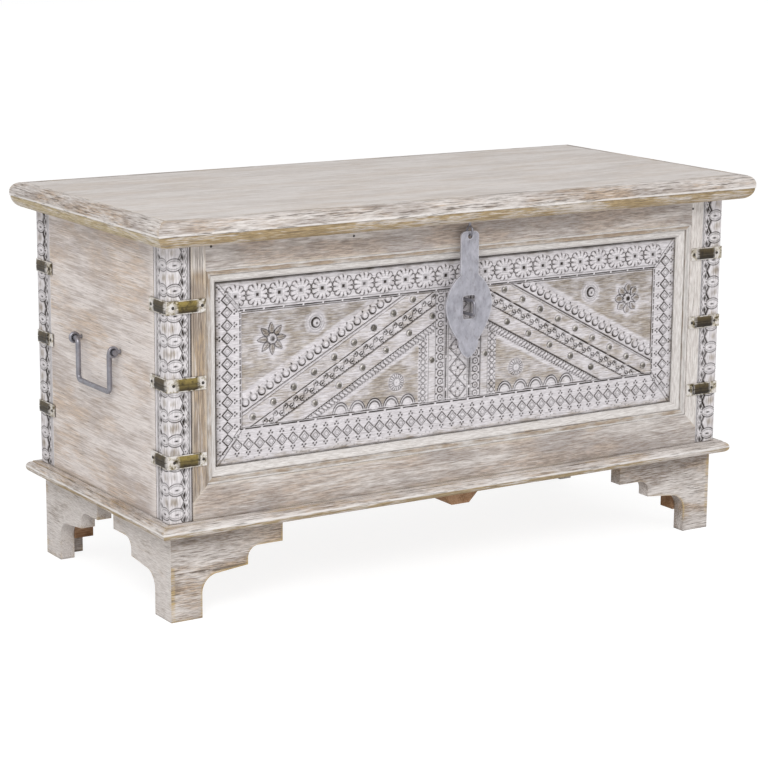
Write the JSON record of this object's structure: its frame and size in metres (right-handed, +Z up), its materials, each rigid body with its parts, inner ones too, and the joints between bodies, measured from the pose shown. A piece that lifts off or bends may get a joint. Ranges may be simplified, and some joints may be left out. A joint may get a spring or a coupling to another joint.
{
  "type": "storage chest",
  "caption": "Free-standing wooden storage chest with a hinged moulded lid, carved front panel, corner straps, iron hasp and staple, bail handles and bracket feet.",
  "frame": {"origin": "on the floor, under the middle of the lid", "axes": "+X along the length, to the right seen from the front; +Y from the front to the back; +Z up"},
  "size_m": [1.1, 0.514, 0.605],
  "materials": {
    "whitewashed_wood": "distressed whitewash over brown wood, matt",
    "carved_wood": "carved, whitewashed, with dark patina left in the grooves, matt",
    "bare_wood": "bare brown wood, sawn, matt",
    "aged_brass": "dull aged brass with traces of whitewash",
    "iron": "worn grey iron with brown spots, semi-matt"
  },
  "bodies": {
    "chest": {"back_panel": "whitewashed_wood", "base_moulding_back": "whitewashed_wood", "base_moulding_front": "whitewashed_wood", "base_moulding_left": "whitewashed_wood", "base_moulding_right": "whitewashed_wood", "body_hinge_leaf_left": "iron", "body_hinge_leaf_right": "iron", "bottom_board": "bare_wood", "centre_bearer": "bare_wood", "corner_post_back_left": "carved_wood", "corner_post_back_right": "carved_wood", "corner_post_front_left": "carved_wood", "corner_post_front_right": "carved_wood", "corner_straps_back_left": "aged_brass", "corner_straps_back_right": "aged_brass", "corner_straps_front_left": "aged_brass", "corner_straps_front_right": "aged_brass", "foot_block_back_left": "bare_wood", "foot_block_back_right": "bare_wood", "foot_block_front_left": "bare_wood", "foot_block_front_right": "bare_wood", "foot_end_bracket_back_left": "whitewashed_wood", "foot_end_bracket_back_right": "whitewashed_wood", "foot_end_bracket_front_left": "whitewashed_wood", "foot_end_bracket_front_right": "whitewashed_wood", "foot_long_bracket_back_left": "whitewashed_wood", "foot_long_bracket_back_right": "whitewashed_wood", "foot_long_bracket_front_left": "whitewashed_wood", "foot_long_bracket_front_right": "whitewashed_wood", "front_bottom_rail": "whitewashed_wood", "front_panel": "carved_wood", "front_stile_left": "whitewashed_wood", "front_stile_right": "whitewashed_wood", "front_top_rail": "whitewashed_wood", "handle_eyes_left": "iron", "handle_eyes_right": "iron", "hasp_staple": "iron", "hinge_pin_left": "iron", "hinge_pin_right": "iron", "panel_mould_bottom": "whitewashed_wood", "panel_mould_left": "whitewashed_wood", "panel_mould_right": "whitewashed_wood", "panel_mould_top": "whitewashed_wood", "panel_studs": "aged_brass", "side_panel_left": "whitewashed_wood", "side_panel_right": "whitewashed_wood"},
    "lid": {"hasp_eye": "iron", "lid_batten_left": "bare_wood", "lid_batten_right": "bare_wood", "lid_hinge_leaf_left": "iron", "lid_hinge_leaf_right": "iron", "lid_nosing_back": "whitewashed_wood", "lid_nosing_front": "whitewashed_wood", "lid_nosing_left": "whitewashed_wood", "lid_nosing_right": "whitewashed_wood", "lid_panel": "whitewashed_wood"},
    "hasp": {"hasp": "iron"},
    "left_handle": {"handle_left": "iron"},
    "right_handle": {"handle_right": "iron"}
  },
  "joints": [
    {"name": "lid_hinge", "type": "hinge", "parent": "chest", "child": "lid", "pos_m": [0, 0.237, 0.559], "axis": [-1, 0, 0], "range_deg": [0, 100]},
    {"name": "hasp_swing", "type": "hinge", "parent": "lid", "child": "hasp", "pos_m": [0, -0.227, 0.5507], "axis": [-1, 0, 0], "range_deg": [0, 95]},
    {"name": "left_handle_swing", "type": "hinge", "parent": "chest", "child": "left_handle", "pos_m": [-0.527, 0.009, 0.384], "axis": [0, 1, 0], "range_deg": [0, 175]},
    {"name": "right_handle_swing", "type": "hinge", "parent": "chest", "child": "right_handle", "pos_m": [0.527, 0.009, 0.384], "axis": [0, -1, 0], "range_deg": [0, 175]}
  ]
}
